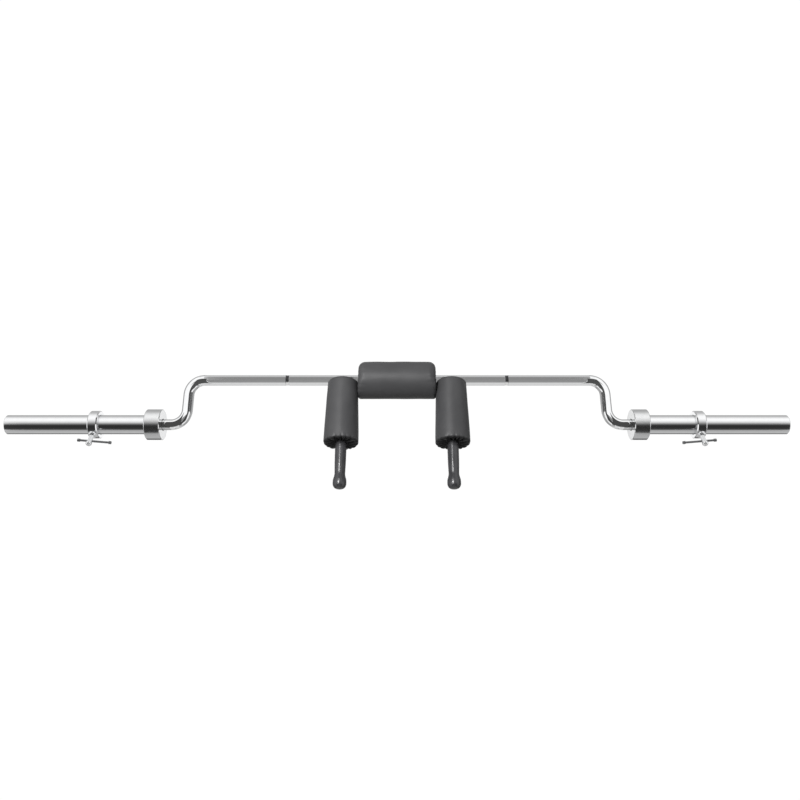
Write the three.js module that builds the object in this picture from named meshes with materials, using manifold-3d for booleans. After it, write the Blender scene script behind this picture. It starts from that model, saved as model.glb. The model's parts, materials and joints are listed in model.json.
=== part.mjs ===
// Safety squat bar, lying at rest on the floor. A bent steel bar carries a padded neck roll and two padded
// handles, and at each end a plate sleeve turns on bushings under a ring that a screw clamps in place.
// Millimetres, +Z up. The bar runs along X, and the handles point to -Y. Left is -X, as seen from the handles.
// The bar rests on its neck roll and on both sleeve flanges. The origin is on the floor, below the middle.

import * as THREE from "three";
import { mergeVertices } from "three/addons/utils/BufferGeometryUtils.js";
import Module from "manifold-3d";

const wasm = await Module();
wasm.setup();

// Gaps and cuts.
const FIT = 0.3; // between pieces that touch
const RUNNING_FIT = 0.4; // between the lock ring and the sleeve that it slides on
const OVERRUN = 5; // how far a cutter runs past what it cuts
const WELD = 0.0005; // vertices closer than this are one

// Bent bar.
const BAR_R = 14;
const MAIN_HALF = 501; // half of the straight middle
const BEND_R = 41;
const BEND_ANGLE = THREE.MathUtils.degToRad(86);
const CAMBER = 116; // from the middle's axis to the sleeves' axis
const MARK_X = 285; // grip mark, a shallow turned groove
const MARK_WIDTH = 9;
const MARK_DEPTH = 0.7;
const MARK_SLOPE = 0.7;
const JOURNAL_R = 12; // turned down for the outer bushing
const JOURNAL_CHAMFER = 1.5;

// Sleeve and flange.
const SLEEVE_R = 25;
const SLEEVE_BORE_R = 16.3;
const SLEEVE_LOAD_LENGTH = 363; // what the plates slide on
const SLEEVE_CHAMFER = 1.5;
const FLANGE_R = 40;
const FLANGE_LENGTH = 40;
const FLANGE_WEB = 8; // the wall that the bar passes through
const FLANGE_HOLE_R = 15.6;
const FLANGE_CHAMFER = 1.6;
const FLANGE_STANDOFF = 21; // from the end of the bend

// Bushings, washer, retaining ring and cap inside the sleeve.
const BUSHING_R = 17.7;
const INNER_BUSHING_LENGTH = 30;
const OUTER_BUSHING_LENGTH = 40;
const WASHER_R = 15.8;
const WASHER_THICKNESS = 3;
const CLIP_R = 15.5;
const CLIP_THICKNESS = 2.5;
const CLIP_GROOVE_DEPTH = 1;
const CLIP_OPENING = THREE.MathUtils.degToRad(50);
const JOURNAL_TAIL = 6; // bar left past the retaining ring
const JOURNAL_INSET = 24; // from the sleeve's end to the bar's end
const CAP_THICKNESS = 9;
const CAP_RECESS = 1.2;
const CAP_CHAMFER = 1;

// Lock ring with its clamp screw and sliding tommy bar.
const RING_R = 36;
const RING_WIDTH = 25;
const RING_CHAMFER = 2.4;
const RING_INSET = 230; // from the sleeve's end to the middle of the ring
const CLAMP_RISE = THREE.MathUtils.degToRad(42); // screw above the plane of the bent bar
const BOSS_R = 10;
const BOSS_HEIGHT = 5;
const FOOT_LENGTH = 4;
const SCREW_R = 5.8;
const SCREW_TIP = 74; // from the sleeve's axis
const HEAD_R = 7.5;
const HEAD_LENGTH = 9;
const HEAD_ROUND = 4;
const SCREW_CHAMFER = 1;
const TOMMY_R = 2.75;
const TOMMY_LENGTH = 85;
const TOMMY_DROP = 4.5; // from the head's underside to the bar's axis
const TOMMY_SHIFT = 11.5; // how far it has slid towards the middle
const TOMMY_TURN = THREE.MathUtils.degToRad(6.5);
const KNOB_R = 4;
const KNOB_LENGTH = 7;
const KNOB_ROUND = 1.6;
const KNOB_BORE = 5;

// Handles and grips. Places along a handle are measured from the bar's axis.
const HANDLE_RISE = THREE.MathUtils.degToRad(20); // above the plane of the bent bar
const HANDLE_R = 12.5;
const HANDLE_CHAMFER = 1.5;
const GRIP_R = 14.3;
const GRIP_NECK_R = 13.3;
const GRIP_BULB_R = 17;
const GRIP_TIP = 300;
const GRIP_BULB_LENGTH = 38; // from the neck to the tip
const GRIP_TIP_ROUND = 16;
const GRIP_END_WALL = 8;
const GRIP_UNDER_PAD = 18;
const GRIP_LIP = 1;
const GRIP_SWELL_SHARES = [
  [0.33, 0.3],
  [0.67, 0.85],
]; // along the rise from the waist to the bulb, and of the swell

// Rolls of foam in sewn covers.
const SKIN = 1.5;
const NECK_R = 48.5;
const NECK_HALF = 100;
const NECK_EDGE_R = 17;
const NECK_DISH = 1.5;
const SHOULDER_REAR = 6; // from the bar's axis to the near end
const SHOULDER_FRONT = 180; // to the far end
const SHOULDER_REAR_R = 39.3;
const SHOULDER_FRONT_R = 44.2;
const SHOULDER_EDGE_R = 6;
const SHOULDER_DISH = 3;
const NECK_PLEAT_DEPTH = 1.6; // of the gathers in the neck cover's ends
const SHOULDER_PLEAT_DEPTH = 4; // of those in a shoulder cover's far end
const PAD_GAP = 0.6; // between the neck roll and a shoulder roll

// Facets.
const TAU = 2 * Math.PI;
const BIG_SIDES = 36;
const BORE_SIDES = 24;
const SMALL_SIDES = 16;
const ROLL_SIDES = 48;
const PLEATS = 16;
const BEND_STEPS = 6;
const ROUND_STEPS = 3;

// Places that follow from the sizes above. Sleeve pieces are placed from the flange's inner face outward.
const DROP_LENGTH = (CAMBER - 2 * BEND_R * (1 - Math.cos(BEND_ANGLE))) / Math.sin(BEND_ANGLE);
const BEND_RUN = 2 * BEND_R * Math.sin(BEND_ANGLE) + DROP_LENGTH * Math.cos(BEND_ANGLE);
const FLANGE_X = MAIN_HALF + BEND_RUN + FLANGE_STANDOFF;
const SLEEVE_START = FLANGE_WEB + FIT;
const SLEEVE_END = FLANGE_LENGTH + SLEEVE_LOAD_LENGTH;
const BAR_END = SLEEVE_END - JOURNAL_INSET;
const CLIP_START = BAR_END - JOURNAL_TAIL - CLIP_THICKNESS;
const OUTER_BUSHING_START = CLIP_START - FIT - OUTER_BUSHING_LENGTH;
const WASHER_START = OUTER_BUSHING_START - FIT - WASHER_THICKNESS;
const BAR_SHOULDER = WASHER_START - FIT;
const RING_X = SLEEVE_END - RING_INSET;
const HEAD_START = SCREW_TIP - HEAD_LENGTH;
const TOMMY_HEIGHT = HEAD_START - TOMMY_DROP;
const GRIP_START = SHOULDER_FRONT - GRIP_UNDER_PAD;
const HANDLE_END = GRIP_TIP - GRIP_END_WALL - FIT;
const REST_TILT = Math.asin((NECK_R - FLANGE_R) / CAMBER);

const CHROME = new THREE.MeshStandardMaterial({ color: 0xd9dbde, metalness: 1, roughness: 0.12 });
const BRONZE = new THREE.MeshStandardMaterial({ color: 0xb08a52, metalness: 1, roughness: 0.35 });
const STEEL = new THREE.MeshStandardMaterial({ color: 0x8d9094, metalness: 1, roughness: 0.4 });
const VINYL = new THREE.MeshStandardMaterial({ color: 0x3a3a3d, metalness: 0, roughness: 0.55 });
const FOAM = new THREE.MeshStandardMaterial({ color: 0x2a2a2c, metalness: 0, roughness: 0.95 });
const RUBBER = new THREE.MeshStandardMaterial({ color: 0x232427, metalness: 0, roughness: 0.3 });

// A closed geometry as a solid that can be joined and cut.
function solidOf(geometry) {
  const bare = geometry.clone();
  bare.deleteAttribute("normal");
  bare.deleteAttribute("uv");
  const merged = mergeVertices(bare, WELD);
  const corners = merged.index.array;
  const kept = [];
  for (let i = 0; i < corners.length; i += 3) {
    const [a, b, c] = corners.slice(i, i + 3);
    if (a !== b && b !== c && c !== a) kept.push(a, b, c);
  }
  return new wasm.Manifold(
    new wasm.Mesh({
      numProp: 3,
      vertProperties: merged.attributes.position.array,
      triVerts: new Uint32Array(kept),
    }),
  );
}

function geometryOf(solid) {
  const mesh = solid.getMesh();
  const geometry = new THREE.BufferGeometry();
  geometry.setAttribute("position", new THREE.BufferAttribute(mesh.vertProperties, 3));
  geometry.setIndex(new THREE.BufferAttribute(mesh.triVerts, 1));
  geometry.computeVertexNormals();
  return geometry;
}

function cut(geometry, ...cutters) {
  return geometryOf(cutters.reduce((left, cutter) => left.subtract(solidOf(cutter)), solidOf(geometry)));
}

function join(geometry, ...others) {
  return geometryOf(others.reduce((sum, other) => sum.add(solidOf(other)), solidOf(geometry)));
}

// Revolves [place along the axis, radius] points. The profile closes on the axis, or on itself.
function revolve(points, sides) {
  return new THREE.LatheGeometry(
    points.map(([along, radius]) => new THREE.Vector2(radius, along)),
    sides,
  );
}

const closed = (points) => [...points, points[0]];
const alongX = (geometry) => geometry.rotateZ(-Math.PI / 2);
const alongZ = (geometry) => geometry.rotateX(Math.PI / 2);

// A tube's profile, with both outer edges chamfered.
function tube(start, end, innerR, outerR, chamfer = 0) {
  return closed([
    [start, innerR],
    [start, outerR - chamfer],
    [start + chamfer, outerR],
    [end - chamfer, outerR],
    [end, outerR - chamfer],
    [end, innerR],
  ]).filter(([along, radius], i, all) => i === 0 || along !== all[i - 1][0] || radius !== all[i - 1][1]);
}

// A rod's profile, with one or both edges chamfered.
function rod(start, end, radius, startChamfer = 0, endChamfer = 0) {
  return [
    [start, 0],
    [start, radius - startChamfer],
    [start + startChamfer, radius],
    [end - endChamfer, radius],
    [end, radius - endChamfer],
    [end, 0],
  ].filter(([along, r], i, all) => i === 0 || along !== all[i - 1][0] || r !== all[i - 1][1]);
}

// Points of a rounded edge about [along, radius], from one angle to another. Angle 0 points to larger radius.
function roundEdge(along, radius, edgeR, from, to, steps = ROUND_STEPS) {
  return Array.from({ length: steps + 1 }, (_, i) => {
    const angle = from + ((to - from) * i) / steps;
    return [along + edgeR * Math.sin(angle), radius + edgeR * Math.cos(angle)];
  });
}

function named(name, geometry, material) {
  const mesh = new THREE.Mesh(geometry, material);
  mesh.name = name;
  return mesh;
}

// Right half of the bent bar, as round sections from the middle outward: where each stands, the way the bar
// heads there, and its radius. The grip mark, the journal and its groove are turned into the straights.
function rightSections() {
  const at = new THREE.Vector2();
  let heading = 0;
  const sections = [];
  const section = (radius) => sections.push({ at: at.clone(), heading, radius });
  const ahead = () => new THREE.Vector2(Math.cos(heading), Math.sin(heading));
  const aside = () => new THREE.Vector2(-Math.sin(heading), Math.cos(heading));
  const straight = (length, radius) => {
    at.addScaledVector(ahead(), length);
    section(radius);
  };
  const bend = (angle) => {
    const reach = Math.sign(angle) * BEND_R;
    const centre = at.clone().addScaledVector(aside(), reach);
    const before = heading;
    for (let i = 1; i <= BEND_STEPS; i += 1) {
      heading = before + (angle * i) / BEND_STEPS;
      at.copy(centre).addScaledVector(aside(), -reach);
      section(BAR_R);
    }
  };
  const groove = (width, slope, radius, bottomR) => {
    section(radius);
    straight(slope, bottomR);
    straight(width - 2 * slope, bottomR);
    straight(slope, radius);
  };
  straight(MARK_X - MARK_WIDTH / 2, BAR_R);
  sections.pop();
  groove(MARK_WIDTH, MARK_SLOPE, BAR_R, BAR_R - MARK_DEPTH);
  straight(MAIN_HALF - MARK_X - MARK_WIDTH / 2, BAR_R);
  bend(-BEND_ANGLE);
  straight(DROP_LENGTH, BAR_R);
  bend(BEND_ANGLE);
  straight(FLANGE_STANDOFF + BAR_SHOULDER, BAR_R);
  section(JOURNAL_R);
  const grooveStart = CLIP_START - FIT;
  straight(grooveStart - BAR_SHOULDER, JOURNAL_R);
  sections.pop();
  groove(CLIP_THICKNESS + 2 * FIT, 0, JOURNAL_R, JOURNAL_R - CLIP_GROOVE_DEPTH);
  straight(JOURNAL_TAIL - FIT - JOURNAL_CHAMFER, JOURNAL_R);
  straight(JOURNAL_CHAMFER, JOURNAL_R - JOURNAL_CHAMFER);
  return sections;
}

// Joins round sections into one solid, with a flat face at each end.
function sweep(sections, sides) {
  const positions = [];
  const corners = [];
  for (const { at, heading, radius } of sections)
    for (let i = 0; i < sides; i += 1) {
      const turn = (i / sides) * TAU;
      const aside = radius * Math.cos(turn);
      positions.push(at.x - aside * Math.sin(heading), at.y + aside * Math.cos(heading), radius * Math.sin(turn));
    }
  const first = sections[0].at;
  const last = sections[sections.length - 1].at;
  const firstCentre = positions.push(first.x, first.y, 0) / 3 - 1;
  const lastCentre = positions.push(last.x, last.y, 0) / 3 - 1;
  const lastRing = (sections.length - 1) * sides;
  for (let i = 0; i < sides; i += 1) {
    const next = (i + 1) % sides;
    for (let ring = 0; ring < lastRing; ring += sides) {
      const beyond = ring + sides;
      corners.push(ring + i, ring + next, beyond + next, beyond + next, beyond + i, ring + i);
    }
    corners.push(firstCentre, next, i, lastCentre, lastRing + i, lastRing + next);
  }
  const geometry = new THREE.BufferGeometry();
  geometry.setAttribute("position", new THREE.Float32BufferAttribute(positions, 3));
  geometry.setIndex(corners);
  geometry.computeVertexNormals();
  return geometry;
}

function bentBar() {
  const right = rightSections();
  const left = right.map(({ at, heading, radius }) => ({
    at: new THREE.Vector2(-at.x, at.y),
    heading: -heading,
    radius,
  }));
  return sweep([...left.reverse(), ...right], BORE_SIDES);
}

// Sleeve pieces, placed along X from the flange's inner face.
function flange() {
  const boreR = SLEEVE_R + FIT;
  const profile = closed([
    [0, FLANGE_HOLE_R],
    [0, FLANGE_R - FLANGE_CHAMFER],
    [FLANGE_CHAMFER, FLANGE_R],
    [FLANGE_LENGTH - FLANGE_CHAMFER, FLANGE_R],
    [FLANGE_LENGTH, FLANGE_R - FLANGE_CHAMFER],
    [FLANGE_LENGTH, boreR],
    [FLANGE_WEB, boreR],
    [FLANGE_WEB, FLANGE_HOLE_R],
  ]);
  return alongX(revolve(profile, BIG_SIDES));
}

function sleeve() {
  const seatR = BUSHING_R + FIT;
  const profile = closed([
    [SLEEVE_START, seatR],
    [SLEEVE_START, SLEEVE_R],
    [SLEEVE_END - SLEEVE_CHAMFER, SLEEVE_R],
    [SLEEVE_END, SLEEVE_R - SLEEVE_CHAMFER],
    [SLEEVE_END, seatR],
    [OUTER_BUSHING_START - FIT, seatR],
    [OUTER_BUSHING_START - FIT, SLEEVE_BORE_R],
    [SLEEVE_START + FIT + INNER_BUSHING_LENGTH + FIT, SLEEVE_BORE_R],
    [SLEEVE_START + FIT + INNER_BUSHING_LENGTH + FIT, seatR],
  ]);
  return alongX(revolve(profile, BIG_SIDES));
}

function innerBushing() {
  const start = SLEEVE_START + FIT;
  return alongX(revolve(tube(start, start + INNER_BUSHING_LENGTH, BAR_R + FIT, BUSHING_R), BORE_SIDES));
}

function outerBushing() {
  const end = OUTER_BUSHING_START + OUTER_BUSHING_LENGTH;
  return alongX(revolve(tube(OUTER_BUSHING_START, end, JOURNAL_R + FIT, BUSHING_R), BORE_SIDES));
}

function thrustWasher() {
  const end = WASHER_START + WASHER_THICKNESS;
  return alongX(revolve(tube(WASHER_START, end, JOURNAL_R + FIT, WASHER_R), BORE_SIDES));
}

// An open spring ring that snaps into the bar's groove.
function retainingRing() {
  const innerR = JOURNAL_R - CLIP_GROOVE_DEPTH + FIT;
  const outline = new THREE.Shape();
  outline.absarc(0, 0, CLIP_R, CLIP_OPENING / 2, TAU - CLIP_OPENING / 2, false);
  outline.absarc(0, 0, innerR, TAU - CLIP_OPENING / 2, CLIP_OPENING / 2, true);
  const geometry = new THREE.ExtrudeGeometry(outline, {
    depth: CLIP_THICKNESS,
    bevelEnabled: false,
    curveSegments: SMALL_SIDES / 2,
  });
  return geometry.rotateY(Math.PI / 2).translate(CLIP_START, 0, 0);
}

function endCap() {
  const end = SLEEVE_END - CAP_RECESS;
  return alongX(revolve(rod(end - CAP_THICKNESS, end, BUSHING_R, 0, CAP_CHAMFER), BORE_SIDES));
}

function sleeveEnd(side) {
  const group = new THREE.Group();
  group.add(
    named(side + "_flange", flange(), CHROME),
    named(side + "_sleeve", sleeve(), CHROME),
    named(side + "_inner_bushing", innerBushing(), BRONZE),
    named(side + "_outer_bushing", outerBushing(), BRONZE),
    named(side + "_thrust_washer", thrustWasher(), STEEL),
    named(side + "_retaining_ring", retainingRing(), STEEL),
    named(side + "_end_cap", endCap(), CHROME),
  );
  const clamp = lockRing(side);
  clamp.position.x = RING_X;
  group.add(clamp);
  return group;
}

// Lock ring pieces. The ring turns about X, and its screw stands along Z.
function ringBody() {
  const boreR = SLEEVE_R + RUNNING_FIT;
  const half = RING_WIDTH / 2;
  const band = alongX(revolve(tube(-half, half, boreR, RING_R, RING_CHAMFER), BIG_SIDES));
  const bossRoot = (boreR + RING_R) / 2;
  const bossTop = RING_R + BOSS_HEIGHT;
  const boss = alongZ(revolve(rod(bossRoot, bossTop, BOSS_R, 0, SCREW_CHAMFER), BORE_SIDES));
  const hole = alongZ(revolve(rod(boreR - OVERRUN, bossTop + OVERRUN, SCREW_R + FIT), BORE_SIDES));
  return cut(join(band, boss), hole);
}

function clampFoot() {
  const start = SLEEVE_R + FIT;
  return alongZ(revolve(rod(start, start + FOOT_LENGTH, SCREW_R, 0, SCREW_CHAMFER), SMALL_SIDES));
}

function clampScrew() {
  const start = SLEEVE_R + FIT + FOOT_LENGTH + FIT;
  const dome = roundEdge(SCREW_TIP - HEAD_ROUND, HEAD_R - HEAD_ROUND, HEAD_ROUND, 0, Math.PI / 2);
  const body = alongZ(
    revolve(
      [
        [start, 0],
        [start, SCREW_R - SCREW_CHAMFER],
        [start + SCREW_CHAMFER, SCREW_R],
        [HEAD_START, SCREW_R],
        [HEAD_START, HEAD_R - SCREW_CHAMFER],
        [HEAD_START + SCREW_CHAMFER, HEAD_R],
        ...dome,
        [SCREW_TIP, 0],
      ],
      BORE_SIDES,
    ),
  );
  const reach = HEAD_R + OVERRUN;
  const hole = alongX(revolve(rod(-reach, reach, TOMMY_R + FIT), SMALL_SIDES));
  return cut(body, hole.translate(0, 0, TOMMY_HEIGHT));
}

// A round bar with a knob formed on one end. The other end is turned plain for a pressed-on cap.
function tommyBar() {
  const half = TOMMY_LENGTH / 2;
  const knob = roundEdge(-half + KNOB_ROUND, KNOB_R - KNOB_ROUND, KNOB_ROUND, -Math.PI / 2, 0);
  return alongX(
    revolve(
      [
        [-half, 0],
        ...knob,
        [-half + KNOB_LENGTH, KNOB_R],
        [-half + KNOB_LENGTH, TOMMY_R],
        [half - KNOB_LENGTH + KNOB_BORE - FIT, TOMMY_R],
        [half - KNOB_LENGTH + KNOB_BORE - FIT, 0],
      ],
      SMALL_SIDES,
    ),
  );
}

function tommyCap() {
  const half = TOMMY_LENGTH / 2;
  const start = half - KNOB_LENGTH;
  const end = roundEdge(half - KNOB_ROUND, KNOB_R - KNOB_ROUND, KNOB_ROUND, 0, Math.PI / 2);
  return alongX(
    revolve(
      [
        [start + KNOB_BORE, 0],
        [start + KNOB_BORE, TOMMY_R + FIT],
        [start, TOMMY_R + FIT],
        [start, KNOB_R],
        ...end,
        [half, 0],
      ],
      SMALL_SIDES,
    ),
  );
}

function lockRing(side) {
  const group = new THREE.Group();
  group.rotation.x = Math.PI / 2 - CLAMP_RISE;
  const turned = new THREE.Group();
  turned.rotation.z = TOMMY_TURN;
  const bar = named(side + "_tommy_bar", tommyBar(), STEEL);
  const cap = named(side + "_tommy_cap", tommyCap(), STEEL);
  for (const piece of [bar, cap]) piece.position.set(-TOMMY_SHIFT, 0, TOMMY_HEIGHT);
  turned.add(named(side + "_clamp_screw", clampScrew(), CHROME), bar, cap);
  group.add(
    named(side + "_lock_ring", ringBody(), CHROME),
    named(side + "_clamp_foot", clampFoot(), BRONZE),
    turned,
  );
  return group;
}

// Revolves [along, radius, fold] stations that close on themselves. Folds are pleats pressed in along the axis.
function pleatedRevolve(stations) {
  const positions = [];
  const corners = [];
  const count = stations.length;
  for (let i = 0; i < ROLL_SIDES; i += 1) {
    const turn = (i / ROLL_SIDES) * TAU;
    const valley = (1 - Math.cos(PLEATS * turn)) / 2;
    for (const [along, radius, fold = 0] of stations)
      positions.push(radius * Math.sin(turn), along + fold * valley, radius * Math.cos(turn));
    const next = (i + 1) % ROLL_SIDES;
    for (let j = 0; j < count; j += 1) {
      const above = (j + 1) % count;
      const [a, b] = [i * count + j, next * count + j];
      const [d, c] = [i * count + above, next * count + above];
      corners.push(a, b, d, c, d, b);
    }
  }
  const geometry = new THREE.BufferGeometry();
  geometry.setAttribute("position", new THREE.Float32BufferAttribute(positions, 3));
  geometry.setIndex(corners);
  geometry.computeVertexNormals();
  return geometry;
}

// The sewn cover of a roll: a skin with rounded edges, whose ends are gathered into pleats round two holes.
function rollCover(roll) {
  const { start, end, startR, endR, edgeR, startHoleR, endHoleR } = roll;
  const { startDish, endDish, startFold, endFold } = roll;
  const quarter = Math.PI / 2;
  const outerStart = roundEdge(start + edgeR, startR - edgeR, edgeR, -quarter, 0);
  const outerEnd = roundEdge(end - edgeR, endR - edgeR, edgeR, 0, quarter);
  const innerStart = start + SKIN + startFold;
  const innerEnd = end - SKIN - endFold;
  const between = (holeR, flatR) => (holeR + flatR) / 2;
  return pleatedRevolve([
    [start + startDish, startHoleR, startFold / 2],
    [start + startDish / 2, between(startHoleR, startR - edgeR), startFold],
    ...outerStart,
    ...outerEnd,
    [end - endDish / 2, between(endHoleR, endR - edgeR), -endFold],
    [end - endDish, endHoleR, -endFold / 2],
    [innerEnd - endDish, endHoleR],
    [innerEnd, endR - edgeR],
    [end - edgeR, endR - SKIN],
    [start + edgeR, startR - SKIN],
    [innerStart, startR - edgeR],
    [innerStart + startDish, startHoleR],
  ]);
}

// The foam inside a cover. Where its two holes differ, the bore steps from one to the other at one place.
function rollFoam(roll) {
  const { start, end, startR, endR, edgeR, startHoleR, endHoleR } = roll;
  const { startDish, endDish, startFold, endFold, boreStep } = roll;
  const inset = SKIN + FIT;
  const first = start + inset + startFold;
  const last = end - inset - endFold;
  const profile = [
    [first + startDish, startHoleR],
    [first + FIT, startR - edgeR - FIT],
    [start + edgeR + FIT, startR - inset],
    [end - edgeR - FIT, endR - inset],
    [last - FIT, endR - edgeR - FIT],
    [last - endDish, endHoleR],
  ];
  if (boreStep) profile.push([boreStep, endHoleR], [boreStep, startHoleR]);
  return revolve(closed(profile), BORE_SIDES);
}

const NECK_ROLL = {
  start: -NECK_HALF,
  end: NECK_HALF,
  startR: NECK_R,
  endR: NECK_R,
  edgeR: NECK_EDGE_R,
  startHoleR: BAR_R + FIT,
  endHoleR: BAR_R + FIT,
  startDish: NECK_DISH,
  endDish: NECK_DISH,
  startFold: NECK_PLEAT_DEPTH,
  endFold: NECK_PLEAT_DEPTH,
};

const SHOULDER_ROLL = {
  start: SHOULDER_REAR,
  end: SHOULDER_FRONT,
  startR: SHOULDER_REAR_R,
  endR: SHOULDER_FRONT_R,
  edgeR: SHOULDER_EDGE_R,
  startHoleR: HANDLE_R + FIT,
  endHoleR: GRIP_R + FIT,
  startDish: 0,
  endDish: SHOULDER_DISH,
  startFold: 0,
  endFold: SHOULDER_PLEAT_DEPTH,
  boreStep: GRIP_START - FIT,
};

// The shoulder rolls stand beside the neck roll, clear of it where their taper reaches its flat end.
const FLAT_END_R = NECK_R - NECK_EDGE_R;
const TAPER = (SHOULDER_FRONT_R - SHOULDER_REAR_R) / (SHOULDER_FRONT - SHOULDER_REAR);
const BESIDE_NECK_R = SHOULDER_REAR_R + TAPER * (FLAT_END_R - SHOULDER_REAR);
const SHOULDER_X = NECK_HALF + PAD_GAP + BESIDE_NECK_R;

function neckRoll() {
  const group = new THREE.Group();
  group.add(
    named("neck_pad_cover", alongX(rollCover(NECK_ROLL)), VINYL),
    named("neck_pad_foam", alongX(rollFoam(NECK_ROLL)), FOAM),
  );
  return group;
}

// The bar's own space in a handle's frame, with its clearance.
function barCutter(clearance) {
  const reach = SHOULDER_FRONT_R + OVERRUN;
  return alongX(revolve(rod(-reach, reach, BAR_R + clearance), BORE_SIDES));
}

// A rubber grip with a waist and a bulb, closed at its tip.
function grip() {
  const neck = GRIP_TIP - GRIP_BULB_LENGTH;
  const boreR = HANDLE_R + FIT;
  const dome = roundEdge(GRIP_TIP - GRIP_TIP_ROUND, GRIP_BULB_R - GRIP_TIP_ROUND, GRIP_TIP_ROUND, 0, Math.PI / 2);
  const swell = (share) => GRIP_NECK_R + (GRIP_BULB_R - GRIP_NECK_R) * share;
  const rise = GRIP_BULB_LENGTH - GRIP_TIP_ROUND;
  return revolve(
    [
      [HANDLE_END + FIT, 0],
      [HANDLE_END + FIT, boreR],
      [GRIP_START, boreR],
      [GRIP_START, GRIP_R - GRIP_LIP],
      [GRIP_START + GRIP_LIP, GRIP_R],
      [neck - GRIP_BULB_LENGTH, GRIP_R],
      [neck, GRIP_NECK_R],
      ...GRIP_SWELL_SHARES.map(([alongShare, swellShare]) => [neck + rise * alongShare, swell(swellShare)]),
      ...dome,
      [GRIP_TIP, 0],
    ],
    BORE_SIDES,
  );
}

// One handle with its grip and its shoulder roll, standing along Z from the bar's axis.
function handle(side) {
  const group = new THREE.Group();
  const steel = alongZ(revolve(rod(0, HANDLE_END, HANDLE_R, 0, HANDLE_CHAMFER), BORE_SIDES));
  const cover = cut(alongZ(rollCover(SHOULDER_ROLL)), barCutter(FIT));
  const foam = cut(alongZ(rollFoam(SHOULDER_ROLL)), barCutter(FIT + SKIN));
  group.add(
    named(side + "_handle", cut(steel, barCutter(FIT)), CHROME),
    named(side + "_grip", alongZ(grip()), RUBBER),
    named(side + "_shoulder_pad_cover", cover, VINYL),
    named(side + "_shoulder_pad_foam", foam, FOAM),
  );
  group.rotation.x = Math.PI / 2 - HANDLE_RISE;
  return group;
}

function squatBar() {
  const bar = new THREE.Group();
  bar.add(named("bar_shaft", bentBar(), CHROME), neckRoll());
  for (const [side, sign] of [
    ["left", -1],
    ["right", 1],
  ]) {
    const yoke = handle(side);
    yoke.position.x = sign * SHOULDER_X;
    const end = sleeveEnd(side);
    end.position.set(sign * FLANGE_X, -CAMBER, 0);
    end.scale.x = sign;
    bar.add(yoke, end);
  }
  bar.rotation.x = REST_TILT;
  return bar;
}

// Stands the bar on the floor, with the origin below the middle of its box.
const root = new THREE.Group();
root.add(squatBar());
const box = new THREE.Box3().setFromObject(root, true);
root.children[0].position.set(0, -(box.min.y + box.max.y) / 2, -box.min.z);

export default root;
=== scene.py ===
import json
import math

import bpy
import numpy as np
from mathutils import Matrix, Vector, noise

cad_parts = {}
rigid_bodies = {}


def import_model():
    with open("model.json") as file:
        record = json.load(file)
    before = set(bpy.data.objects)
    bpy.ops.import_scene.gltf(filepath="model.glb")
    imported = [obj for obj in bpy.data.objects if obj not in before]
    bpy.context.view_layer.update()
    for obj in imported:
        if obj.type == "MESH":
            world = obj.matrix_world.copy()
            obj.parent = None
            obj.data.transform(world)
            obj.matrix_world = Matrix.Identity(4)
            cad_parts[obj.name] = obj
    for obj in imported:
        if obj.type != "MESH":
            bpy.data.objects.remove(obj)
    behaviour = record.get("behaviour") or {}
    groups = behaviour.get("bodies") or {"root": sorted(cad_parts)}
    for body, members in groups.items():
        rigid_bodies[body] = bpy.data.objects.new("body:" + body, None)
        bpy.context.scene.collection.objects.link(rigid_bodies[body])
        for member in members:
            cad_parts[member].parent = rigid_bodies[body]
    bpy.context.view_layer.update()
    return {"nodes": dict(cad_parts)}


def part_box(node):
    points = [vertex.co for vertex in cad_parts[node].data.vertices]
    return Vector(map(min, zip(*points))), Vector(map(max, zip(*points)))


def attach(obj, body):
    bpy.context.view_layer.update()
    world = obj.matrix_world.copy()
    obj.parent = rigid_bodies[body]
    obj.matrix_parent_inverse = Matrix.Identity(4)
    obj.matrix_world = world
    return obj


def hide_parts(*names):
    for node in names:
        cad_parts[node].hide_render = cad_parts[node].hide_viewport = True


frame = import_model()

# Sizes of the CAD part, in metres.
BAR_R = 0.014
MAIN_HALF = 0.501
BEND_R = 0.041
BEND_ANGLE = math.radians(86)
MARK_X = 0.285
MARK_WIDTH = 0.009
MARK_DEPTH = 0.0007
BAR_SIDES = 72
FLANGE_STANDOFF = 0.021
JOURNAL_R = 0.012
JOURNAL_CHAMFER = 0.0015
SLEEVE_R = 0.025
SLEEVE_BORE_R = 0.0163
SLEEVE_CHAMFER = 0.0015
BUSHING_SEAT_DEPTH = 0.0017
BUSHING_SEAT_LENGTH = 0.0300
BUSHING_LIP_END = 0.0306
FLANGE_R = 0.040
FLANGE_LENGTH = 0.040
FLANGE_WEB = 0.008
FLANGE_HOLE_R = 0.0156
FLANGE_CHAMFER = 0.0016
CAP_R = 0.0177
CAP_THICKNESS = 0.009
CAP_CHAMFER = 0.001
CAP_SUNK = 0.0012
CAP_DIMPLE_R = 0.0030
CAP_DIMPLE_DEPTH = 0.0014
RING_R = 0.036
RING_WIDTH = 0.025
RING_BORE_R = 0.0254
RING_CHAMFER = 0.0024
RING_BORE_CHAMFER = 0.0006
BOSS_R = 0.010
BOSS_START = 0.030
BOSS_TOP = 0.041
BOSS_CHAMFER = 0.001
SCREW_R = 0.0058
SCREW_START = 0.0296
SCREW_TIP = 0.074
SCREW_CHAMFER = 0.001
HEAD_R = 0.0075
HEAD_START = 0.065
HEAD_ROUND = 0.004
HEAD_FILLET = 0.0006
TOMMY_R = 0.00275
TOMMY_HALF = 0.0425
TOMMY_HEIGHT = 0.0605
TOMMY_SHIFT = 0.0115
TOMMY_TURN = math.radians(6.5)
KNOB_R = 0.004
KNOB_LENGTH = 0.007
KNOB_ROUND = 0.0016
KNOB_BORE = 0.005
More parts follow.
